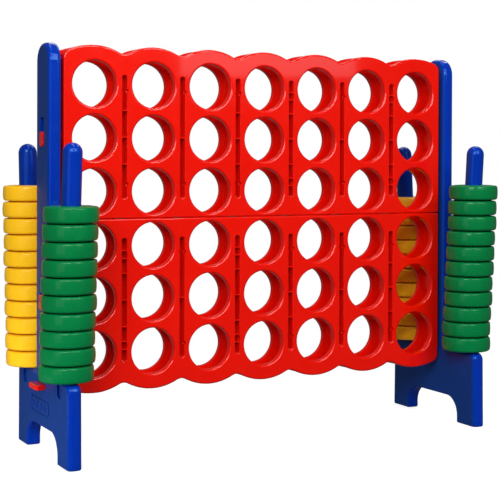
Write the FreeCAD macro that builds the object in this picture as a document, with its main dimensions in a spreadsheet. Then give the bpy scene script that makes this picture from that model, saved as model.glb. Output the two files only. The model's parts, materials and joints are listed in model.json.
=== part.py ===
import FreeCAD, Part
import math
import os
import Sketcher

os.makedirs("parts", exist_ok=True)

# Giant four in a row: a red board of four identical grid panels hangs by hooks between two blue
# stands, each stand carries two leaning posts of stacked rings, and a red slider under the board
# holds the rings in their columns until it is pulled out to the left.
# +X runs along the board to the right, -Y is the front, +Z is up; the origin is on the ground in
# the middle of the object. Millimetres.

document = FreeCAD.newDocument("giant_four_in_a_row")
sheet = document.addObject("Spreadsheet::Sheet", "Dimensions")

# overlap is how far a cut runs past a face, and how far a raised part reaches into what it joins.

DIMENSIONS = [
    ("column_pitch", 158),
    ("row_pitch", 134),
    ("board_centre_height", 580),
    ("seam_gap", 2),
    ("board_half_length", 555),
    ("board_half_height", 432),
    ("panel_inner_face", 24),
    ("panel_thickness", 16),
    ("hole_radius", 58),
    ("hole_lip", 5),
    ("seam_edge_radius", 2.9),
    ("bump_radius", 141),
    ("valley_radius", 25),
    ("end_bump_radius", 200),
    ("panel_corner_radius", 25),
    ("rib_width", 19),
    ("rib_gap", 0.25),
    ("rib_reach", 395),
    ("end_wall", 6),
    ("rib_slot_width", 13),
    ("rib_slot_half_length", 155),
    ("rib_slot_floor", 18),
    ("rib_slot_end_radius", 6),
    ("rib_slot_edge_radius", 2),
    ("rib_slot_rise", 2),
    ("web_height", 3),
    ("web_recess", 2),
    ("web_pair_inner", 104),
    ("web_pair_outer", 124),
    ("snap_notch_height", 117),
    ("snap_notch_radius", 4),
    ("snap_notch_depth", 12),
    ("snap_socket_radius", 8),
    ("slider_top_below_centre", 403),
    ("slider_thickness", 5),
    ("slider_half_width", 29),
    ("slider_clearance", 0.4),
    ("slider_groove_depth", 5.6),
    ("slider_bridge", 20),
    ("slider_window_half_width", 23),
    ("slider_tongue", 5),
    ("handle_length", 24),
    ("handle_half_width", 32),
    ("handle_height", 13),
    ("handle_corner_radius", 8),
    ("handle_edge_radius", 3),
    ("handle_gap", 0.6),
    ("stand_outer_face", 597),
    ("stand_base_thickness", 36),
    ("upright_thickness", 34),
    ("upright_root", 40),
    ("upright_half_depth", 50),
    ("upright_corner_radius", 45),
    ("upright_edge_radius", 11),
    ("stand_height", 1015),
    ("shelf_height", 201.5),
    ("foot_half_depth", 202),
    ("shelf_half_depth", 199),
    ("arch_half_width", 118),
    ("arch_height", 68),
    ("arch_radius", 50),
    ("shoulder_radius", 20),
    ("stand_edge_radius", 7),
    ("shelf_edge_radius", 12),
    ("foot_bottom_radius", 4),
    ("groove_half_width", 15),
    ("groove_bottom", 160),
    ("groove_depth", 5),
    ("groove_round", 13),
    ("plaque_half_width", 70),
    ("plaque_height", 40),
    ("plaque_bottom", 99),
    ("plaque_depth", 2.5),
    ("plaque_border", 5),
    ("plaque_set_back", 12),
    ("plaque_corner_radius", 9),
    ("plaque_dot_radius", 9),
    ("plaque_dot_pitch", 29),
    ("plaque_dot_depth", 1.5),
    ("hook_row_height", 201),
    ("hook_neck_half_height", 15),
    ("hook_half_width", 12),
    ("hook_clearance", 0.3),
    ("hook_lip_drop", 7),
    ("hook_proud", 4),
    ("hook_lip_root", 2),
    ("hook_lip_corner", 8),
    ("hook_plate_half_width", 20),
    ("hook_plate_half_height", 20),
    ("hook_plate_thickness", 5),
    ("keyhole_half_width", 13),
    ("keyhole_height", 65),
    ("post_line", 579),
    ("post_foot_spacing", 135),
    ("post_lean", 4.42),
    ("post_radius", 23.5),
    ("post_length", 566),
    ("post_seat_gap", 2),
    ("peg_radius", 12),
    ("peg_length", 60),
    ("socket_radius", 12.2),
    ("socket_depth", 62),
    ("socket_mouth", 20),
    ("ring_radius", 66.8),
    ("ring_bore_radius", 27),
    ("ring_thickness", 41.5),
    ("ring_gap", 0.3),
    ("ring_top_round", 6),
    ("ring_bottom_round", 8),
    ("ring_bore_round", 4),
    ("ring_play", 1.1),
    ("overlap", 1),
]

for row, (alias, number) in enumerate(DIMENSIONS, start=1):
    sheet.set(f"A{row}", alias)
    sheet.set(f"B{row}", str(number))
    sheet.setAlias(f"B{row}", alias)
document.recompute()


def size(alias):
    """A driving dimension's number, read from the sheet."""
    return float(sheet.get(alias))


def work_out(formula):
    """The number that a formula of sheet names gives."""
    return float(sheet.evalExpression(formula))


def bound(formula):
    """The same formula as another object reads it, with the sheet's name before each alias."""
    words = formula.replace("(", " ( ").replace(")", " ) ").split()
    aliases = {alias for alias, _ in DIMENSIONS}
    return " ".join(f"Dimensions.{word}" if word in aliases else word for word in words)


def bind(thing, prop, formula):
    thing.setExpression(prop, bound(formula))


# --- sketches -------------------------------------------------------------------------------

def new_body(name):
    body = document.addObject("PartDesign::Body", name)
    body.Label = name
    return body


def new_sketch(body, name, plane, offset="0"):
    """A sketch on one of the body's own origin planes, raised along the plane's normal."""
    sketch = body.newObject("Sketcher::SketchObject", f"{body.Name}_{name}")
    support = [feature for feature in body.Origin.OriginFeatures if feature.Role == plane][0]
    sketch.AttachmentSupport = [(support, "")]
    sketch.MapMode = "FlatFace"
    bind(sketch, "AttachmentOffset.Base.z", offset)
    return sketch


def fix_point(sketch, geometry, point, across, up):
    """Holds one point of a sketch at a place given by two formulas."""
    for kind, formula in (("DistanceX", across), ("DistanceY", up)):
        place = work_out(formula)
        index = sketch.addConstraint(Sketcher.Constraint(kind, -1, 1, geometry, point, place))
        bind(sketch, f"Constraints[{index}]", formula)


def fix_radius(sketch, geometry, formula):
    index = sketch.addConstraint(Sketcher.Constraint("Radius", geometry, work_out(formula)))
    bind(sketch, f"Constraints[{index}]", formula)


def add_polygon(sketch, corners):
    """A closed outline of straight lines through corners given as pairs of formulas."""
    points = [FreeCAD.Vector(work_out(across), work_out(up), 0) for across, up in corners]
    lines = []
    for start, end in zip(points, points[1:] + points[:1]):
        lines.append(sketch.addGeometry(Part.LineSegment(start, end), False))
    for line, following in zip(lines, lines[1:] + lines[:1]):
        sketch.addConstraint(Sketcher.Constraint("Coincident", line, 2, following, 1))
    for line, (across, up) in zip(lines, corners):
        fix_point(sketch, line, 1, across, up)
    return lines


def add_rectangle(sketch, left, right, bottom, top):
    return add_polygon(sketch, [(left, bottom), (right, bottom), (right, top), (left, top)])


def add_circle(sketch, across, up, radius):
    centre = FreeCAD.Vector(work_out(across), work_out(up), 0)
    circle = Part.Circle(centre, FreeCAD.Vector(0, 0, 1), work_out(radius))
    geometry = sketch.addGeometry(circle, False)
    fix_point(sketch, geometry, 3, across, up)
    fix_radius(sketch, geometry, radius)
    return geometry


# --- features -------------------------------------------------------------------------------

def pad(body, sketch, length, reverse=False):
    feature = body.newObject("PartDesign::Pad", f"{sketch.Name}_pad")
    feature.Profile = sketch
    bind(feature, "Length", length)
    feature.Reversed = reverse
    document.recompute()
    return feature


def pocket(body, sketch, depth, reverse=False):
    """Cuts a sketch into the body, and stops if nothing was cut."""
    before = body.Shape.Volume
    feature = body.newObject("PartDesign::Pocket", f"{sketch.Name}_pocket")
    feature.Profile = sketch
    bind(feature, "Length", depth)
    feature.Reversed = reverse
    document.recompute()
    if body.Shape.Volume >= before - 1:
        failed = [step.Name for step in body.Group if "Invalid" in step.State]
        raise RuntimeError(f"{feature.Name} cut nothing, failed before it: {failed}")
    return feature


def revolve(body, sketch):
    feature = body.newObject("PartDesign::Revolution", f"{sketch.Name}_turn")
    feature.Profile = sketch
    feature.ReferenceAxis = (sketch, ["V_Axis"])
    feature.Angle = 360
    document.recompute()
    return feature


def fillet(body, name, radius, chosen):
    """Rounds the edges of the body's last feature that a test picks by their bounding box."""
    base = body.Tip
    edges = [
        f"Edge{number}"
        for number, edge in enumerate(base.Shape.Edges, start=1)
        if chosen(edge.BoundBox)
    ]
    if not edges:
        raise RuntimeError(f"{body.Name}: no edge for {name}")
    feature = body.newObject("PartDesign::Fillet", f"{body.Name}_{name}")
    feature.Base = (base, edges)
    bind(feature, "Radius", radius)
    document.recompute()
    return feature


def near(first, second, tolerance=0.05):
    return abs(first - second) < tolerance


# --- board panels ---------------------------------------------------------------------------
# One panel is drawn as the upper front one, about the middle of the board: its straight edge is
# the seam at the bottom, its scalloped edge the top, and its outer face looks to the front.

COLUMNS = range(-3, 4)
BETWEEN_COLUMNS = [-2.5, -1.5, -0.5, 0.5, 1.5, 2.5]
# Cross webs in the six rib slots, from left to right: a receiver has one or three, a snap seven.
WEB_COUNTS = [3, 1, 3, 7, 1, 7]


def draw_scallops(sketch):
    """The panel's outline: one bump over each column, with rounded valleys between them."""
    pitch = size("column_pitch")
    bump, valley, end_bump = size("bump_radius"), size("valley_radius"), size("end_bump_radius")
    top, half_length = size("board_half_height"), size("board_half_length")
    seam = size("seam_gap") / 2
    valley_centre = top - bump + math.sqrt((bump + valley) ** 2 - (pitch / 2) ** 2)
    meeting = math.atan2(valley_centre - (top - bump), pitch / 2)
    upright = FreeCAD.Vector(0, 0, 1)

    def arc(centre_x, centre_z, radius, start, end):
        circle = Part.Circle(FreeCAD.Vector(centre_x, centre_z, 0), upright, radius)
        return sketch.addGeometry(Part.ArcOfCircle(circle, start, end), False)

    end_reach = math.acos((half_length - 3 * pitch) / end_bump)
    end_z = top - end_bump + end_bump * math.sin(end_reach)
    # From right to left, so that each arc ends where the next begins.
    chain = [(arc(3 * pitch, top - end_bump, end_bump, end_reach, math.pi / 2), 2)]
    bumps = []
    for column in reversed(COLUMNS):
        start = math.pi / 2 if column == 3 else meeting
        end = math.pi / 2 if column == -3 else math.pi - meeting
        bumps.append(arc(column * pitch, top - bump, bump, start, end))
        chain.append((bumps[-1], 2))
        if column > -3:
            between = (column - 0.5) * pitch
            chain.append((arc(between, valley_centre, valley, math.pi + meeting, -meeting), 1))
            fix_radius(sketch, chain[-1][0], "valley_radius")
    left_end = arc(-3 * pitch, top - end_bump, end_bump, math.pi / 2, math.pi - end_reach)
    chain.append((left_end, 2))
    for (geometry, leaving), (following, left_by) in zip(chain, chain[1:]):
        entering = 2 if left_by == 1 else 1
        sketch.addConstraint(
            Sketcher.Constraint("Tangent", geometry, leaving, following, entering)
        )
    for column, geometry in zip(reversed(COLUMNS), bumps):
        fix_point(
            sketch, geometry, 3, f"column_pitch * {column}", "board_half_height - bump_radius"
        )
        fix_radius(sketch, geometry, "bump_radius")
    for geometry in (chain[0][0], left_end):
        fix_radius(sketch, geometry, "end_bump_radius")

    corners = [
        FreeCAD.Vector(-half_length, end_z, 0),
        FreeCAD.Vector(-half_length, seam, 0),
        FreeCAD.Vector(half_length, seam, 0),
        FreeCAD.Vector(half_length, end_z, 0),
    ]
    lines = [
        sketch.addGeometry(Part.LineSegment(start, end), False)
        for start, end in zip(corners, corners[1:])
    ]
    sketch.addConstraint(Sketcher.Constraint("Coincident", left_end, 2, lines[0], 1))
    sketch.addConstraint(Sketcher.Constraint("Coincident", lines[0], 2, lines[1], 1))
    sketch.addConstraint(Sketcher.Constraint("Coincident", lines[1], 2, lines[2], 1))
    sketch.addConstraint(Sketcher.Constraint("Coincident", lines[2], 2, chain[0][0], 1))
    sketch.addConstraint(Sketcher.Constraint("Vertical", lines[0]))
    sketch.addConstraint(Sketcher.Constraint("Vertical", lines[2]))
    fix_point(sketch, lines[1], 1, "board_half_length * -1", "seam_gap / 2")
    fix_point(sketch, lines[1], 2, "board_half_length", "seam_gap / 2")


def draw_holes(sketch):
    for column in COLUMNS:
        for row in range(3):
            height = f"seam_gap / 2 + row_pitch * {row + 0.5}"
            add_circle(sketch, f"column_pitch * {column}", height, "hole_radius")


def draw_ribs(sketch):
    """The walls between the columns and at both ends, which meet those of the other panel."""
    for place in BETWEEN_COLUMNS:
        middle = f"column_pitch * {place}"
        left, right = f"{middle} - rib_width / 2", f"{middle} + rib_width / 2"
        add_rectangle(sketch, left, right, "seam_gap / 2", "rib_reach")
    for side in (-1, 1):
        ends = [f"board_half_length * {side}", f"( board_half_length - end_wall ) * {side}"]
        ends.sort(key=work_out)
        add_rectangle(sketch, ends[0], ends[1], "seam_gap / 2", "rib_reach")


SLOT_MIDDLE = "seam_gap / 2 + row_pitch * 1.5 + rib_slot_rise"


def draw_rib_slots(sketch):
    for place in BETWEEN_COLUMNS:
        middle = f"column_pitch * {place}"
        add_rectangle(
            sketch,
            f"{middle} - rib_slot_width / 2",
            f"{middle} + rib_slot_width / 2",
            f"{SLOT_MIDDLE} - rib_slot_half_length",
            f"{SLOT_MIDDLE} + rib_slot_half_length",
        )


def draw_webs(sketch):
    steps = {
        1: ["0"],
        3: ["0", "row_pitch / 2"],
        7: ["0", "row_pitch / 2", "web_pair_inner", "web_pair_outer"],
    }
    for place, count in zip(BETWEEN_COLUMNS, WEB_COUNTS):
        middle = f"column_pitch * {place}"
        left = f"{middle} - rib_slot_width / 2 - overlap"
        right = f"{middle} + rib_slot_width / 2 + overlap"
        heights = set()
        for step in steps[count]:
            for sign in (-1, 1):
                if step != "0" or sign > 0:
                    heights.add(f"{SLOT_MIDDLE} + {step} * {sign}")
        for height in sorted(heights):
            add_rectangle(
                sketch, left, right, f"{height} - web_height / 2", f"{height} + web_height / 2"
            )


def draw_snap_notches(sketch):
    """A pair of notches near each end of a slot, or one round socket where the webs are paired."""
    for place, count in zip(BETWEEN_COLUMNS, WEB_COUNTS):
        middle = f"column_pitch * {place}"
        for sign in (-1, 1):
            if count == 7:
                socket_height = f"{SLOT_MIDDLE} + ( web_pair_inner + web_pair_outer ) / 2 * {sign}"
                add_circle(sketch, middle, socket_height, "snap_socket_radius")
                continue
            notch_height = f"{SLOT_MIDDLE} + snap_notch_height * {sign}"
            for side in (-1, 1):
                edge = f"{middle} + rib_slot_width / 2 * {side}"
                add_circle(sketch, edge, notch_height, "snap_notch_radius")


def make_panel(name, placement):
    body = new_body(name)
    outer_face = size("panel_inner_face") + size("panel_thickness")
    outline = new_sketch(body, "outline", "XZ_Plane", "panel_inner_face")
    draw_scallops(outline)
    pad(body, outline, "panel_thickness")
    fillet(
        body, "corners", "panel_corner_radius",
        lambda box: box.XLength < 0.1 and box.ZLength < 0.1
        and box.ZMin > size("seam_gap") and near(abs(box.XMin), size("board_half_length")),
    )
    holes = new_sketch(body, "holes", "XZ_Plane", "panel_inner_face")
    draw_holes(holes)
    pocket(body, holes, "panel_thickness + overlap", reverse=True)
    fillet(
        body, "hole_lips", "hole_lip",
        lambda box: near(box.YMax, -outer_face) and near(box.ZLength, 2 * size("hole_radius")),
    )
    lip_diameter = 2 * (size("hole_radius") + size("hole_lip"))
    fillet(
        body, "outline_edges", "hole_lip",
        lambda box: near(box.YMax, -outer_face) and not near(box.ZLength, lip_diameter)
        and box.ZLength > 0.1,
    )
    fillet(
        body, "seam_edge", "seam_edge_radius",
        lambda box: near(box.YMax, -outer_face) and box.ZLength < 0.1
        and box.XLength > size("board_half_length"),
    )
    ribs = new_sketch(body, "ribs", "XZ_Plane", "rib_gap")
    draw_ribs(ribs)
    pad(body, ribs, "panel_inner_face - rib_gap + overlap")
    slots = new_sketch(body, "slots", "XZ_Plane", "panel_inner_face + panel_thickness")
    draw_rib_slots(slots)
    pocket(body, slots, "panel_inner_face + panel_thickness - rib_slot_floor")
    slot_depth = outer_face - size("rib_slot_floor")
    fillet(
        body, "slot_ends", "rib_slot_end_radius",
        lambda box: box.XLength < 0.1 and box.ZLength < 0.1 and near(box.YMin, -outer_face)
        and near(box.YLength, slot_depth),
    )
    fillet(
        body, "slot_edges", "rib_slot_edge_radius",
        lambda box: near(box.YMax, -outer_face) and near(box.YMin, -outer_face)
        and box.XLength < size("rib_slot_width"),
    )
    notches = new_sketch(body, "notches", "XZ_Plane", "panel_inner_face + panel_thickness")
    draw_snap_notches(notches)
    pocket(body, notches, "snap_notch_depth")
    webs = new_sketch(body, "webs", "XZ_Plane", "rib_slot_floor - overlap")
    draw_webs(webs)
    web_reach = "panel_inner_face + panel_thickness - rib_slot_floor - web_recess + overlap"
    pad(body, webs, web_reach)
    groove = new_sketch(body, "slider_groove", "XZ_Plane", "panel_inner_face - overlap")
    add_rectangle(
        groove,
        "( board_half_length + overlap ) * -1",
        "board_half_length + overlap",
        "slider_top_below_centre - slider_clearance",
        "slider_top_below_centre + slider_thickness + slider_clearance",
    )
    pocket(body, groove, "slider_groove_depth + overlap", reverse=True)
    notch = new_sketch(body, "hook_notches", "XZ_Plane")
    for side in (-1, 1):
        ends = [
            f"( board_half_length + overlap ) * {side}",
            f"( board_half_length - end_wall - overlap ) * {side}",
        ]
        ends.sort(key=work_out)
        add_rectangle(
            notch,
            ends[0],
            ends[1],
            "hook_row_height - hook_neck_half_height - hook_clearance",
            "hook_row_height + hook_neck_half_height + hook_clearance",
        )
    pocket(body, notch, "hook_half_width + hook_clearance", reverse=True)
    body.Placement = placement
    return body


# --- release slider -------------------------------------------------------------------------

def make_slider():
    """A flat bar with a bridge under each column; the windows come under them when it is pulled."""
    body = new_body("release_slider")
    bottom = "board_centre_height - slider_top_below_centre - slider_thickness"
    left_end = "( stand_outer_face + handle_gap + slider_tongue ) * -1"
    bar = new_sketch(body, "bar", "XY_Plane", bottom)
    add_rectangle(
        bar,
        left_end,
        "column_pitch * 3 + slider_bridge / 2",
        "slider_half_width * -1",
        "slider_half_width",
    )
    pad(body, bar, "slider_thickness")
    windows = new_sketch(body, "windows", "XY_Plane", bottom)
    for column in range(-3, 3):
        add_rectangle(
            windows,
            f"column_pitch * {column} + slider_bridge / 2",
            f"column_pitch * {column + 1} - slider_bridge / 2",
            "slider_window_half_width * -1",
            "slider_window_half_width",
        )
    pocket(body, windows, "slider_thickness", reverse=True)
    fillet(
        body, "window_corners", "slider_thickness",
        lambda box: box.XLength < 0.1 and box.YLength < 0.1
        and near(abs(box.YMin), size("slider_window_half_width")),
    )
    grip = new_sketch(body, "grip", "YZ_Plane", "( stand_outer_face + handle_gap ) * -1")
    top = "board_centre_height - slider_top_below_centre"
    add_rectangle(
        grip, "handle_half_width * -1", "handle_half_width", f"{top} - handle_height", top
    )
    pad(body, grip, "handle_length", reverse=True)
    outer_end = -(size("stand_outer_face") + size("handle_gap") + size("handle_length"))
    fillet(
        body, "grip_corners", "handle_corner_radius",
        lambda box: box.XLength < 0.1 and box.YLength < 0.1
        and near(box.XMin, outer_end) and near(box.ZLength, size("handle_height")),
    )
    fillet(
        body, "grip_edges", "handle_edge_radius",
        lambda box: near(box.XMin, outer_end) and box.ZLength < 0.1,
    )
    return body


# --- stands ---------------------------------------------------------------------------------
# A stand is drawn as the right-hand one, and the left one is that turned half round.

def draw_base(sketch):
    """The base seen from the side: two feet with a flat-topped arch between them."""
    corners = [
        ("foot_half_depth * -1", "0"),
        ("arch_half_width * -1", "0"),
        ("arch_half_width * -1", "arch_height"),
        ("arch_half_width", "arch_height"),
        ("arch_half_width", "0"),
        ("foot_half_depth", "0"),
        ("shelf_half_depth", "shelf_height"),
        ("shelf_half_depth * -1", "shelf_height"),
    ]
    add_polygon(sketch, corners)


def cut_plaque(body):
    """A recessed frame on the outer face, round a field with four shallow dots in a row."""
    outer = size("stand_outer_face")
    bottom, height = size("plaque_bottom"), size("plaque_height")

    def corner(box):
        inside = bottom - 1 < box.ZMin < bottom + height + 1
        return inside and near(box.XLength, size("plaque_depth")) and box.YLength < 0.1

    recess = new_sketch(body, "plaque_recess", "YZ_Plane", "stand_outer_face")
    add_rectangle(
        recess,
        "plaque_half_width * -1 - plaque_set_back",
        "plaque_half_width - plaque_set_back",
        "plaque_bottom",
        "plaque_bottom + plaque_height",
    )
    pocket(body, recess, "plaque_depth")
    fillet(body, "plaque_corners", "plaque_corner_radius", corner)
    field = new_sketch(body, "plaque_field", "YZ_Plane", "stand_outer_face - plaque_depth")
    add_rectangle(
        field,
        "plaque_border - plaque_half_width - plaque_set_back",
        "plaque_half_width - plaque_border - plaque_set_back",
        "plaque_bottom + plaque_border",
        "plaque_bottom + plaque_height - plaque_border",
    )
    pad(body, field, "plaque_depth")
    fillet(
        body, "field_corners", "plaque_corner_radius - plaque_border",
        lambda box: corner(box) and near(box.XMax, outer) and box.ZLength < 0.1,
    )
    dots = new_sketch(body, "plaque_dots", "YZ_Plane", "stand_outer_face")
    for place in (-1.5, -0.5, 0.5, 1.5):
        add_circle(
            dots,
            f"plaque_dot_pitch * {place} - plaque_set_back",
            "plaque_bottom + plaque_height / 2",
            "plaque_dot_radius",
        )
    pocket(body, dots, "plaque_dot_depth")


def make_stand(name, placement, slider_slot):
    """One stand; only the left one is cut through for the slider."""
    body = new_body(f"{name}_moulding")
    inner_face = size("stand_outer_face") - size("stand_base_thickness")
    shelf = size("shelf_height")
    base = new_sketch(body, "base", "YZ_Plane", "stand_outer_face - stand_base_thickness")
    draw_base(base)
    pad(body, base, "stand_base_thickness")
    fillet(
        body, "arch_corners", "arch_radius",
        lambda box: near(box.ZMin, size("arch_height")) and box.YLength < 0.1,
    )
    fillet(
        body, "shoulders", "shoulder_radius",
        lambda box: near(box.ZMin, shelf) and box.YLength < 0.1,
    )
    fillet(
        body, "shelf_edges", "shelf_edge_radius",
        lambda box: box.ZMin > shelf - 2 * size("shoulder_radius") and box.XLength < 0.1,
    )
    upright = new_sketch(body, "upright", "YZ_Plane", "stand_outer_face - upright_thickness")
    add_rectangle(
        upright,
        "upright_half_depth * -1",
        "upright_half_depth",
        "shelf_height - upright_root",
        "stand_height",
    )
    pad(body, upright, "upright_thickness")
    fillet(
        body, "upright_corners", "upright_corner_radius",
        lambda box: near(box.ZMin, size("stand_height")) and box.YLength < 0.1,
    )
    fillet(
        body, "upright_edges", "upright_edge_radius",
        lambda box: box.ZMax > size("board_centre_height") and box.XLength < 0.1,
    )
    fillet(
        body, "foot_edges", "stand_edge_radius",
        lambda box: box.ZMax < shelf - size("shelf_edge_radius") and box.XLength < 0.1
        and box.ZLength > box.YLength / 2,
    )
    fillet(
        body, "foot_bottoms", "foot_bottom_radius",
        lambda box: box.ZMax < 0.1,
    )
    grooves = new_sketch(body, "grooves", "YZ_Plane", "stand_outer_face")
    for side in (-1, 1):
        middle = f"post_foot_spacing * {side}"
        add_rectangle(
            grooves,
            f"{middle} - groove_half_width",
            f"{middle} + groove_half_width",
            "groove_bottom",
            "shelf_height + overlap",
        )
    pocket(body, grooves, "groove_depth")
    fillet(
        body, "groove_ends", "groove_round",
        lambda box: near(box.ZMin, size("groove_bottom")) and near(box.XLength, size("groove_depth"))
        and box.YLength < 0.1,
    )
    cut_plaque(body)
    slots = new_sketch(body, "slots", "YZ_Plane", "stand_outer_face + overlap")
    slider_top = "board_centre_height - slider_top_below_centre"
    if slider_slot:
        add_rectangle(
            slots,
            "( slider_half_width + slider_clearance ) * -1",
            "slider_half_width + slider_clearance",
            f"{slider_top} - slider_thickness - slider_clearance",
            f"{slider_top} + slider_clearance",
        )
    for sign in (-1, 1):
        bottom = f"board_centre_height + hook_row_height * {sign} - hook_neck_half_height"
        add_rectangle(
            slots,
            "keyhole_half_width * -1",
            "keyhole_half_width",
            f"{bottom} - hook_clearance",
            f"{bottom} + keyhole_height",
        )
    pocket(body, slots, "stand_base_thickness + overlap * 2")

    sockets = []
    for side, end in ((-1, "front"), (1, "back")):
        socket = document.addObject("Part::Cylinder", f"{name}_{end}_socket")
        bind(socket, "Radius", "socket_radius")
        bind(socket, "Height", "socket_depth + socket_mouth")
        lean = FreeCAD.Rotation(FreeCAD.Vector(1, 0, 0), -side * size("post_lean"))
        foot = FreeCAD.Vector(size("post_line"), side * size("post_foot_spacing"), shelf)
        down = lean.multVec(FreeCAD.Vector(0, 0, -size("socket_depth")))
        socket.Placement = FreeCAD.Placement(foot + down, lean)
        sockets.append(socket)
    both = document.addObject("Part::MultiFuse", f"{name}_sockets")
    both.Shapes = sockets
    stand = document.addObject("Part::Cut", name)
    stand.Base = body
    stand.Tool = both
    stand.Label = name
    stand.Placement = placement
    document.recompute()
    return stand


# --- hooks ----------------------------------------------------------------------------------

def make_hook(name, sign, placement):
    """Held between two panels' end walls; its lip hangs over the bottom of the stand's slot."""
    body = new_body(name)
    row = f"board_centre_height + hook_row_height * {sign}"
    plate_back = "board_half_length - end_wall - hook_clearance - hook_plate_thickness"
    plate = new_sketch(body, "plate", "YZ_Plane", plate_back)
    add_rectangle(
        plate,
        "hook_plate_half_width * -1",
        "hook_plate_half_width",
        f"{row} - hook_plate_half_height",
        f"{row} + hook_plate_half_height",
    )
    pad(body, plate, "hook_plate_thickness")
    neck = new_sketch(body, "neck", "YZ_Plane", plate_back)
    add_rectangle(
        neck,
        "hook_half_width * -1",
        "hook_half_width",
        f"{row} - hook_neck_half_height",
        f"{row} + hook_neck_half_height",
    )
    neck_length = "stand_outer_face + hook_proud"
    neck_length += " - board_half_length + end_wall + hook_clearance + hook_plate_thickness"
    pad(body, neck, neck_length)
    lip = new_sketch(body, "lip", "YZ_Plane", "stand_outer_face + hook_clearance")
    add_rectangle(
        lip,
        "hook_half_width * -1",
        "hook_half_width",
        f"{row} - hook_neck_half_height - hook_lip_drop",
        f"{row} - hook_neck_half_height + hook_lip_root",
    )
    pad(body, lip, "hook_proud - hook_clearance")
    outer = size("stand_outer_face") + size("hook_proud")
    lip_bottom = work_out(f"{row} - hook_neck_half_height - hook_lip_drop")
    fillet(
        body, "lip_corners", "hook_lip_corner",
        lambda box: near(box.ZMin, lip_bottom) and box.ZLength < 0.1 and box.YLength < 0.1,
    )
    fillet(
        body, "lip_edges", "hook_proud / 2",
        lambda box: near(box.XMin, outer) and near(box.XMax, outer),
    )
    body.Placement = placement
    return body


# --- posts and rings ------------------------------------------------------------------------

def make_post(name, placement):
    """A round post with a domed top, and a peg below that sits in the stand's socket."""
    body = new_body(name)
    sketch = new_sketch(body, "half", "XZ_Plane")
    radius, length = size("post_radius"), size("post_length")
    peg, peg_end = size("peg_radius"), -size("peg_length")
    points = [
        FreeCAD.Vector(0, length, 0),
        FreeCAD.Vector(0, peg_end, 0),
        FreeCAD.Vector(peg, peg_end, 0),
        FreeCAD.Vector(peg, 0, 0),
        FreeCAD.Vector(radius, 0, 0),
        FreeCAD.Vector(radius, length - radius, 0),
    ]
    lines = [
        sketch.addGeometry(Part.LineSegment(start, end), False)
        for start, end in zip(points, points[1:])
    ]
    dome_circle = Part.Circle(
        FreeCAD.Vector(0, length - radius, 0), FreeCAD.Vector(0, 0, 1), radius
    )
    dome = sketch.addGeometry(Part.ArcOfCircle(dome_circle, 0, math.pi / 2), False)
    for line, following in zip(lines, lines[1:]):
        sketch.addConstraint(Sketcher.Constraint("Coincident", line, 2, following, 1))
    sketch.addConstraint(Sketcher.Constraint("Coincident", lines[-1], 2, dome, 1))
    sketch.addConstraint(Sketcher.Constraint("Coincident", dome, 2, lines[0], 1))
    fix_point(sketch, dome, 3, "0", "post_length - post_radius")
    fix_point(sketch, lines[1], 1, "0", "peg_length * -1")
    fix_point(sketch, lines[2], 1, "peg_radius", "peg_length * -1")
    fix_point(sketch, lines[3], 1, "peg_radius", "0")
    fix_point(sketch, lines[4], 1, "post_radius", "0")
    fix_point(sketch, lines[4], 2, "post_radius", "post_length - post_radius")
    sketch.addConstraint(Sketcher.Constraint("Vertical", lines[0]))
    revolve(body, sketch)
    body.Placement = placement
    return body


def make_ring(name, placement):
    """A thick ring with a soft top edge and a rounder bottom edge."""
    body = new_body(name)
    sketch = new_sketch(body, "section", "XZ_Plane")
    add_rectangle(sketch, "ring_bore_radius", "ring_radius", "0", "ring_thickness")
    revolve(body, sketch)
    rim, bore, top = size("ring_radius"), size("ring_bore_radius"), size("ring_thickness")

    def circle_at(radius, height):
        return lambda box: near(box.XMax, radius) and near(box.ZMin, height) and box.ZLength < 0.1

    fillet(body, "top_edge", "ring_top_round", circle_at(rim, top))
    fillet(body, "bottom_edge", "ring_bottom_round", circle_at(rim, 0))
    fillet(body, "bore_top", "ring_bore_round", circle_at(bore, top))
    fillet(body, "bore_bottom", "ring_bore_round", circle_at(bore, 0))
    body.Placement = placement
    return body


def lean_rotation(side_y):
    return FreeCAD.Rotation(FreeCAD.Vector(1, 0, 0), -side_y * size("post_lean"))


def post_placement(side_x, side_y):
    """The post's foot stands a little off the shelf, because the post leans and the shelf doesn't."""
    rotation = lean_rotation(side_y)
    foot = FreeCAD.Vector(
        side_x * size("post_line"), side_y * size("post_foot_spacing"), size("shelf_height")
    )
    return FreeCAD.Placement(
        foot + rotation.multVec(FreeCAD.Vector(0, 0, size("post_seat_gap"))), rotation
    )


def ring_placement(side_x, side_y, level):
    """Rings lie flat on each other and follow the leaning post, each a little off its middle."""
    step = size("ring_thickness") + size("ring_gap")
    above_shelf = size("ring_gap") + level * step
    drift = (above_shelf + size("ring_thickness") / 2) * math.tan(math.radians(size("post_lean")))
    turn = 2.4 * level + side_x + 2 * side_y
    return FreeCAD.Placement(
        FreeCAD.Vector(
            side_x * size("post_line") + size("ring_play") * math.cos(turn),
            side_y * (size("post_foot_spacing") + drift) + size("ring_play") * math.sin(turn),
            size("shelf_height") + above_shelf,
        ),
        FreeCAD.Rotation(FreeCAD.Vector(0, 0, 1), math.degrees(turn)),
    )


# --- assembly -------------------------------------------------------------------------------

def turned(axis, height=0):
    """Half a turn about one of the row's axes, or none, and then a lift."""
    rotation = FreeCAD.Rotation(axis, 180) if axis else FreeCAD.Rotation()
    return FreeCAD.Placement(FreeCAD.Vector(0, 0, height), rotation)


X_AXIS = FreeCAD.Vector(1, 0, 0)
Y_AXIS = FreeCAD.Vector(0, 1, 0)
Z_AXIS = FreeCAD.Vector(0, 0, 1)
STACKS = {
    "left_front": (-1, -1, 10),
    "left_back": (-1, 1, 11),
    "right_front": (1, -1, 11),
    "right_back": (1, 1, 10),
}

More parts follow.
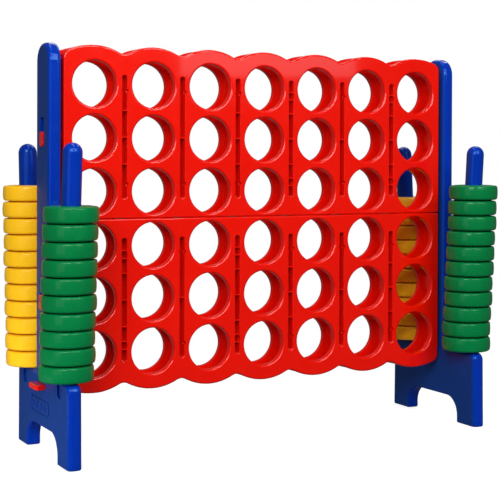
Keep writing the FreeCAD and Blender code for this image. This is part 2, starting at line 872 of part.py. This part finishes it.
board_height = size("board_centre_height")
pieces = [
    make_stand("stand_right", turned(None), slider_slot=False),
    make_stand("stand_left", turned(Z_AXIS), slider_slot=True),
    make_panel("panel_front_upper", turned(None, board_height)),
    make_panel("panel_front_lower", turned(Y_AXIS, board_height)),
    make_panel("panel_back_upper", turned(Z_AXIS, board_height)),
    make_panel("panel_back_lower", turned(X_AXIS, board_height)),
    make_slider(),
]
for half, sign in (("upper", 1), ("lower", -1)):
    pieces.append(make_hook(f"hook_right_{half}", sign, turned(None)))
    pieces.append(make_hook(f"hook_left_{half}", sign, turned(Z_AXIS)))
for stack, (side_x, side_y, count) in STACKS.items():
    pieces.append(make_post(f"post_{stack}", post_placement(side_x, side_y)))
    for level in range(count):
        name = f"ring_{stack}_{level + 1:02d}"
        pieces.append(make_ring(name, ring_placement(side_x, side_y, level)))

document.recompute()
for thing in document.Objects:
    if "Invalid" in thing.State or "Error" in thing.State:
        raise RuntimeError(f"{thing.Name} failed: {thing.State}")
for piece in pieces:
    if piece.Shape.isNull() or not piece.Shape.isValid():
        raise RuntimeError(f"{piece.Label} has no valid shape")
for piece in pieces:
    piece.Shape.exportStep(f"parts/{piece.Label}.step")
print(f"wrote {len(pieces)} nodes")
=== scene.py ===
import json
import math

import bmesh
import bpy
from mathutils import Euler, Matrix, Vector


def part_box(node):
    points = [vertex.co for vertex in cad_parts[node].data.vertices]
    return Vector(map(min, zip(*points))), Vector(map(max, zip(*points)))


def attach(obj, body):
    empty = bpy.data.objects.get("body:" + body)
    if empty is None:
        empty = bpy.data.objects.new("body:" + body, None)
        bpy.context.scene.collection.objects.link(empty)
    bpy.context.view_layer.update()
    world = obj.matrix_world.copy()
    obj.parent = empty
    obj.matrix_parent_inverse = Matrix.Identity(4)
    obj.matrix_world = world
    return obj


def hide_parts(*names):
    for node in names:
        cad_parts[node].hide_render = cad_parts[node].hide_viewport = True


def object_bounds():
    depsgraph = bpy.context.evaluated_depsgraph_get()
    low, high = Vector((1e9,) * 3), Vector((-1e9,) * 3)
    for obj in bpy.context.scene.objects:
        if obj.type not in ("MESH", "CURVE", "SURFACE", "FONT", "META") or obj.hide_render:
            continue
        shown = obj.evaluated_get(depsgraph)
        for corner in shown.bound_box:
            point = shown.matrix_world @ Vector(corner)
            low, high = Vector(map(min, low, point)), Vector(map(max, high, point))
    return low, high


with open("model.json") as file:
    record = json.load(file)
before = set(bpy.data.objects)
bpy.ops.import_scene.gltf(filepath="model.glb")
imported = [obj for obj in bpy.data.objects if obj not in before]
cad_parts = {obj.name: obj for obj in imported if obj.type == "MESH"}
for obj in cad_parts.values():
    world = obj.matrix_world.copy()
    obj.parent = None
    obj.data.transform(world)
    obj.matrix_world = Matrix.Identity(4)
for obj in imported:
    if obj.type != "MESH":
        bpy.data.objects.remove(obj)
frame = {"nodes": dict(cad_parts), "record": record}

# Giant four in a row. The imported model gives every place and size, in metres:
# +X along the board to the right, -Y the front, +Z up.
MM = 0.001
WHITE = (1.0, 1.0, 1.0)
cad_low, cad_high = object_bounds()
nodes = frame["nodes"]
record = frame["record"]
slot_of = {row["node"]: row["material_slot"] for row in record["subparts"]}
body_of = {
    node: body for body, members in record["behaviour"]["bodies"].items() for node in members
}
RING_NODES = [name for name in sorted(nodes) if name.startswith("ring_")]
MOULDED_NODES = [name for name in sorted(nodes) if not name.startswith("ring_")]

# A ring: its radii, the roundings of its section, and how uneven the hollow moulding is.
RING_RADIUS = 66.8 * MM
RING_BORE_RADIUS = 27.0 * MM
RING_BOTTOM_ROUND = 7.0 * MM
RING_TOP_ROUND = 6.0 * MM
RING_BORE_ROUND = 4.0 * MM
RING_CROWN = 0.9 * MM
RING_PARTING_GROOVE = 0.3 * MM
RING_HUB_WIDTH = 24.0 * MM
RING_STEP_WIDTH = 3.0 * MM
RING_STEP = 1.3 * MM
RING_GRIPS = 36
RING_GRIP_DEPTH = 0.5 * MM
RING_SLUMP = 0.35 * MM
# Waves round the rim: how many lobes, how high, and how far each ring's own turn shifts them.
RING_WAVES = ((3, 0.30 * MM, 1), (7, 0.22 * MM, 2), (13, 0.14 * MM, -1))
RING_TURN = 1.7
RING_STEPS_ROUND = 216
RING_STEPS_UP = 10

FLOOR_LENGTH = 1.9
FLOOR_DEPTH = 1.25
FLOOR_CLEAR_RADIUS = 0.30
FLOOR_DROP = 0.5 * MM
FLOOR_GLOW = 0.78
ROOM_LIGHT = 0.10
LIGHT_AIM = (0.0, 0.0, 0.5)
LIGHT_DISTANCE = 4.0


# --- nodes of a material --------------------------------------------------------------------

def new_material(name):
    material = bpy.data.materials.new(name)
    material.use_nodes = True
    tree = material.node_tree
    return material, tree, tree.nodes["Principled BSDF"]


def add_noise(tree, place, scale, detail=2.0, roughness=0.5):
    node = tree.nodes.new("ShaderNodeTexNoise")
    node.inputs["Scale"].default_value = scale
    node.inputs["Detail"].default_value = detail
    node.inputs["Roughness"].default_value = roughness
    tree.links.new(place, node.inputs["Vector"])
    return node.outputs["Fac"]


def remap(tree, value, low, high, to_low, to_high):
    node = tree.nodes.new("ShaderNodeMapRange")
    node.inputs["From Min"].default_value = low
    node.inputs["From Max"].default_value = high
    node.inputs["To Min"].default_value = to_low
    node.inputs["To Max"].default_value = to_high
    tree.links.new(value, node.inputs["Value"])
    return node.outputs["Result"]


def mix_colour(tree, factor, first, second):
    """Goes from the first colour to the second with the factor. A colour is a tuple or a socket."""
    node = tree.nodes.new("ShaderNodeMix")
    node.data_type = "RGBA"
    tree.links.new(factor, node.inputs["Factor"])
    for value, name in ((first, "A"), (second, "B")):
        socket = [s for s in node.inputs if s.name == name and s.type == "RGBA"][0]
        if isinstance(value, tuple):
            socket.default_value = (*value, 1.0)
        else:
            tree.links.new(value, socket)
    return [s for s in node.outputs if s.type == "RGBA"][0]


def add_values(tree, first, second):
    node = tree.nodes.new("ShaderNodeMath")
    node.operation = "ADD"
    tree.links.new(first, node.inputs[0])
    tree.links.new(second, node.inputs[1])
    return node.outputs["Value"]


def add_bump(tree, height, distance, strength, onto=None):
    node = tree.nodes.new("ShaderNodeBump")
    node.inputs["Strength"].default_value = strength
    node.inputs["Distance"].default_value = distance
    tree.links.new(height, node.inputs["Height"])
    if onto is not None:
        tree.links.new(onto, node.inputs["Normal"])
    return node.outputs["Normal"]


def facing_sideways(tree, normal):
    """How squarely a face looks along the board, either way: 0 to 1."""
    split = tree.nodes.new("ShaderNodeSeparateXYZ")
    tree.links.new(normal, split.inputs["Vector"])
    size = tree.nodes.new("ShaderNodeMath")
    size.operation = "ABSOLUTE"
    tree.links.new(split.outputs["X"], size.inputs[0])
    return size.outputs["Value"]


# --- materials ------------------------------------------------------------------------------

def moulded_plastic(name, colour, deep, pale, sheen, gloss, wobble, coat, matt_side_painted_shade=None):
    """Blow-moulded polyethylene: soft gloss, walls that aren't quite flat, fine skin, faint scuffs.

    colour, deep and pale are the plastic, its darker clouds and its worn places; sheen tints the
    reflections; gloss is the roughness; wobble is how far the walls wave, in millimetres; coat is
    the strength of the crisp reflections; matt_side_painted_shade is a darker colour painted as
    painted shade on the faces that look along the board, whose gloss is also dulled as real grain.
    """
    material, tree, shader = new_material(name)
    coordinates = tree.nodes.new("ShaderNodeTexCoord")
    place = coordinates.outputs["Object"]
    clouds = add_noise(tree, place, 4.0)
    flow = add_noise(tree, place, 22.0, 3.0, 0.55)
    skin = add_noise(tree, place, 700.0)
    scuffs = add_noise(tree, place, 75.0, 9.0, 0.68)

    tint = mix_colour(tree, remap(tree, clouds, 0.35, 0.65, 0.0, 1.0), deep, colour)
    tint = mix_colour(tree, remap(tree, flow, 0.50, 0.80, 0.0, 0.12), tint, pale)
    tint = mix_colour(tree, remap(tree, scuffs, 0.66, 0.76, 0.0, 0.10), tint, pale)
    rough = remap(tree, flow, 0.3, 0.7, gloss - 0.03, gloss + 0.04)
    rough = add_values(tree, rough, remap(tree, scuffs, 0.62, 0.78, 0.0, 0.08))
    # Faces that look along the board get painted shade: a darker colour is mixed in. Their rougher
    # gloss is real grain.
    if matt_side_painted_shade is not None:
        side = facing_sideways(tree, coordinates.outputs["Normal"])
        rough = add_values(tree, rough, remap(tree, side, 0.85, 0.99, 0.0, 0.30))
        tint = mix_colour(tree, remap(tree, side, 0.85, 0.99, 0.0, 0.8), tint, matt_side_painted_shade)
    tree.links.new(tint, shader.inputs["Base Color"])
    tree.links.new(rough, shader.inputs["Roughness"])

    normal = add_bump(tree, clouds, wobble * MM, 0.6)
    normal = add_bump(tree, flow, 0.2 * wobble * MM, 0.3, normal)
    normal = add_bump(tree, skin, 0.03 * MM, 0.2, normal)
    tree.links.new(normal, shader.inputs["Normal"])
    shader.inputs["IOR"].default_value = 1.48
    shader.inputs["Specular IOR Level"].default_value = 0.45
    shader.inputs["Specular Tint"].default_value = (*sheen, 1.0)
    shader.inputs["Coat Weight"].default_value = coat
    shader.inputs["Coat Roughness"].default_value = 0.05
    return material


def make_plastics():
    """One material for each of the record's slots."""
    red = moulded_plastic(
        "red_plastic", (0.70, 0.0044, 0.0002), (0.66, 0.0036, 0.0002), (0.78, 0.016, 0.005),
        sheen=(0.70, 0.30, 0.26), gloss=0.16, wobble=1.2, coat=0.55,
    )
    blue = moulded_plastic(
        "blue_plastic", (0.0012, 0.027, 0.33), (0.0010, 0.023, 0.29), (0.008, 0.050, 0.40),
        sheen=(0.16, 0.50, 1.00), gloss=0.16, wobble=0.5, coat=0.06,
        # Painted shade: the darker colour put on the blue's faces that look along the board.
        matt_side_painted_shade=(0.005, 0.035, 0.165),
    )
    green = moulded_plastic(
        "green_plastic", (0.0008, 0.160, 0.042), (0.0006, 0.145, 0.036), (0.008, 0.20, 0.065),
        sheen=(0.10, 0.24, 0.16), gloss=0.34, wobble=0.5, coat=0.26,
    )
    yellow = moulded_plastic(
        "yellow_plastic", (0.94, 0.53, 0.014), (0.92, 0.50, 0.011), (0.95, 0.57, 0.035),
        sheen=(0.30, 0.24, 0.14), gloss=0.34, wobble=0.5, coat=0.26,
    )
    return {
        "red_plastic": red, "blue_plastic": blue, "green_plastic": green, "yellow_plastic": yellow,
    }


def make_floor_material():
    """White near the object, thinning out to nothing at the rim so that no horizon shows."""
    material, tree, shader = new_material("studio_floor")
    place = tree.nodes.new("ShaderNodeTexCoord").outputs["Object"]
    grain = add_noise(tree, place, 3.0)
    tint = mix_colour(tree, grain, (0.34, 0.34, 0.34), (0.36, 0.36, 0.36))
    tree.links.new(tint, shader.inputs["Base Color"])
    shader.inputs["Emission Color"].default_value = (*WHITE, 1.0)
    shader.inputs["Emission Strength"].default_value = FLOOR_GLOW
    shader.inputs["Roughness"].default_value = 0.8
    shader.inputs["Specular IOR Level"].default_value = 0.1
    oval = tree.nodes.new("ShaderNodeVectorMath")
    oval.operation = "MULTIPLY"
    oval.inputs[1].default_value = (FLOOR_DEPTH / FLOOR_LENGTH, 1.0, 0.0)
    tree.links.new(place, oval.inputs[0])
    distance = tree.nodes.new("ShaderNodeVectorMath")
    distance.operation = "LENGTH"
    tree.links.new(oval.outputs["Vector"], distance.inputs[0])
    fade = remap(tree, distance.outputs["Value"], FLOOR_CLEAR_RADIUS, FLOOR_DEPTH, 1.0, 0.0)
    fade.node.interpolation_type = "SMOOTHERSTEP"
    tree.links.new(fade, shader.inputs["Alpha"])
    return material


def dress(obj, material):
    obj.data.materials.clear()
    obj.data.materials.append(material)


# --- rings ----------------------------------------------------------------------------------

def corner_arc(centre, radius, start, end, steps):
    angles = [math.radians(start + (end - start) * step / steps) for step in range(steps + 1)]
    return [(centre[0] + radius * math.cos(a), centre[1] + radius * math.sin(a)) for a in angles]


def ring_section(height):
    """Radius and level of each point of a ring's section, anticlockwise from the bottom face."""
    hub = RING_BORE_RADIUS + RING_HUB_WIDTH
    rim = hub + RING_STEP_WIDTH
    edge = RING_RADIUS - RING_CROWN
    side_low = RING_BOTTOM_ROUND + RING_STEP
    side_high = height - RING_TOP_ROUND - RING_STEP
    bore_edge = RING_BORE_RADIUS + RING_BORE_ROUND
    points = [(hub, 0.0), (rim, RING_STEP)]
    points += corner_arc((edge - RING_BOTTOM_ROUND, side_low), RING_BOTTOM_ROUND, -90, -6, 8)
    for step in range(1, RING_STEPS_UP):
        part = step / RING_STEPS_UP
        out = edge + RING_CROWN * math.sin(math.pi * part)
        if 2 * step == RING_STEPS_UP:
            out -= RING_PARTING_GROOVE
        points.append((out, side_low + (side_high - side_low) * part))
    points += corner_arc((edge - RING_TOP_ROUND, side_high), RING_TOP_ROUND, 6, 90, 8)
    points += [(rim, height - RING_STEP), (hub, height)]
    points += corner_arc((bore_edge, height - RING_BORE_ROUND), RING_BORE_ROUND, 90, 180, 4)
    points += corner_arc((bore_edge, RING_BORE_ROUND), RING_BORE_ROUND, 180, 270, 4)
    return points


def ring_mesh(name, low, high, index):
    """A ring with a hollow moulding's slight unevenness, and shallow grips on its top edge."""
    centre = (low + high) / 2
    height = high.z - low.z
    section = ring_section(height)
    phase = index * RING_TURN
    room = sum(size for lobes, size, shift in RING_WAVES)
    bm = bmesh.new()
    loops = []
    for step in range(RING_STEPS_ROUND):
        angle = 2 * math.pi * step / RING_STEPS_ROUND
        wave = sum(size * math.cos(lobes * angle + shift * phase) for lobes, size, shift in RING_WAVES)
        grip = RING_GRIP_DEPTH * ((1 + math.cos(RING_GRIPS * angle)) / 2) ** 2
        slump = RING_SLUMP * (1 + math.cos(5 * angle + 3 * phase)) / 2
        loop = []
        for radius, level in section:
            share = (radius - RING_BORE_RADIUS) / (RING_RADIUS - RING_BORE_RADIUS)
            up = level / height
            reach = radius + (wave * math.sin(math.pi * up) - room) * share
            drop = slump * up + grip * share * max(0.0, 2 * up - 1)
            x = centre.x + reach * math.cos(angle)
            y = centre.y + reach * math.sin(angle)
            loop.append(bm.verts.new((x, y, low.z + level - drop)))
        loops.append(loop)
    for one, two in zip(loops, loops[1:] + loops[:1]):
        for k in range(len(section)):
            after = (k + 1) % len(section)
            bm.faces.new((one[k], two[k], two[after], one[after]))
    bmesh.ops.recalc_face_normals(bm, faces=bm.faces)
    mesh = bpy.data.meshes.new(name)
    bm.to_mesh(mesh)
    bm.free()
    return mesh


def make_ring(node, index, material):
    """The finer ring that stands for the CAD's plain one."""
    mesh = ring_mesh(f"{node}_moulding", *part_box(node), index)
    piece = bpy.data.objects.new(f"{node}_moulding", mesh)
    bpy.context.scene.collection.objects.link(piece)
    dress(piece, material)
    for face in mesh.polygons:
        face.use_smooth = True
    mesh.set_sharp_from_angle(angle=math.radians(50))
    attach(piece, body_of[node])
    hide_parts(node)


# --- stage ----------------------------------------------------------------------------------

def make_floor():
    """A pale disc under the feet, left out of reflections and bounced light."""
    bm = bmesh.new()
    bmesh.ops.create_circle(bm, cap_ends=True, segments=96, radius=FLOOR_LENGTH)
    mesh = bpy.data.meshes.new("floor")
    bm.to_mesh(mesh)
    bm.free()
    floor = bpy.data.objects.new("floor", mesh)
    bpy.context.scene.collection.objects.link(floor)
    floor.location.z = cad_low.z - FLOOR_DROP
    floor.data.materials.append(make_floor_material())
    floor.visible_glossy = False
    floor.visible_diffuse = False


def round_the_front(turn, rise, distance=LIGHT_DISTANCE):
    """A place at an angle from the front, to the right when positive, and an angle above the aim."""
    turn, rise = math.radians(turn), math.radians(rise)
    return (
        LIGHT_AIM[0] + distance * math.sin(turn) * math.cos(rise),
        LIGHT_AIM[1] - distance * math.cos(turn) * math.cos(rise),
        LIGHT_AIM[2] + distance * math.sin(rise),
    )


def area_light(name, place, width, height, power, aim=LIGHT_AIM):
    light = bpy.data.lights.new(name, "AREA")
    light.shape = "RECTANGLE"
    light.size = width
    light.size_y = height
    light.energy = power
    obj = bpy.data.objects.new(name, light)
    bpy.context.scene.collection.objects.link(obj)
    obj.location = place
    obj.rotation_euler = (Vector(aim) - Vector(place)).to_track_quat("-Z", "Y").to_euler()
    return obj


def make_lights():
    """Soft keys in front, long banks overhead for the gloss, and fills that no reflection shows."""
    area_light("key_left", round_the_front(-38, 24), 1.9, 1.4, 86)
    area_light("key_right", round_the_front(8, 26), 1.9, 1.4, 70)
    area_light("front_bank", round_the_front(-5, 44), 4.6, 0.3, 56)
    area_light("left_bank", round_the_front(-56, 42), 1.8, 0.16, 11)
    area_light("low_sheen", (1.5, -2.9, 1.4), 0.9, 0.5, 3, aim=(0.0, 0.0, 0.9))
    area_light("top_strip", (-0.3, 0.0, 4.2), 3.0, 0.5, 26)
    area_light("back_strip", round_the_front(140, 50), 3.0, 0.5, 32)
    fills = (
        area_light("back_right", round_the_front(125, 28, 4.2), 2.0, 1.6, 50),
        area_light("back_left", round_the_front(-160, 34, 4.2), 1.6, 1.4, 40),
        area_light("floor_glow", (-0.3, -0.6, 0.01), 2.6, 1.8, 2.0, aim=(-0.3, -0.6, 1.0)),
        area_light("left_foot_glow", (-1.05, -0.1, 0.05), 0.4, 0.1, 1.9, aim=(-0.6, -0.1, 0.05)),
    )
    for fill in fills:
        fill.visible_camera = False
        fill.visible_glossy = False
    area_light("low_left", round_the_front(-60, 5, 3.6), 1.7, 2.0, 10)


def make_world():
    """White where the camera sees past the floor, and only a dim fill on the object."""
    world = bpy.data.worlds.new("studio")
    bpy.context.scene.world = world
    world.use_nodes = True
    tree = world.node_tree
    room = tree.nodes["Background"]
    seen = tree.nodes.new("ShaderNodeBackground")
    for node, strength in ((room, ROOM_LIGHT), (seen, 1.0)):
        node.inputs["Color"].default_value = (*WHITE, 1.0)
        node.inputs["Strength"].default_value = strength
    path = tree.nodes.new("ShaderNodeLightPath")
    mixer = tree.nodes.new("ShaderNodeMixShader")
    tree.links.new(path.outputs["Is Camera Ray"], mixer.inputs["Fac"])
    tree.links.new(room.outputs["Background"], mixer.inputs[1])
    tree.links.new(seen.outputs["Background"], mixer.inputs[2])
    tree.links.new(mixer.outputs["Shader"], tree.nodes["World Output"].inputs["Surface"])


def make_camera():
    """Low and to the left of the front, a little over three metres away, as in the photograph."""
    heading, pitch, roll = 26.78, -0.51, -0.20
    data = bpy.data.cameras.new("camera")
    data.sensor_width = 36.0
    data.lens = 93.94
    data.shift_y = -0.16
    data.clip_end = 200.0
    camera = bpy.data.objects.new("camera", data)
    bpy.context.scene.collection.objects.link(camera)
    camera.location = (-1.586, -3.095, 0.732)
    look = Euler((math.radians(90 + pitch), 0, math.radians(-heading))).to_matrix()
    camera.rotation_euler = (look @ Matrix.Rotation(math.radians(-roll), 3, "Z")).to_euler()
    bpy.context.scene.camera = camera


plastics = make_plastics()
for name in MOULDED_NODES:
    dress(nodes[name], plastics[slot_of[name]])
for index, name in enumerate(RING_NODES):
    make_ring(name, index, plastics[slot_of[name]])
make_floor()
make_lights()
make_world()
make_camera()
bpy.context.scene.view_settings.view_transform = "Standard"

bpy.context.view_layer.update()
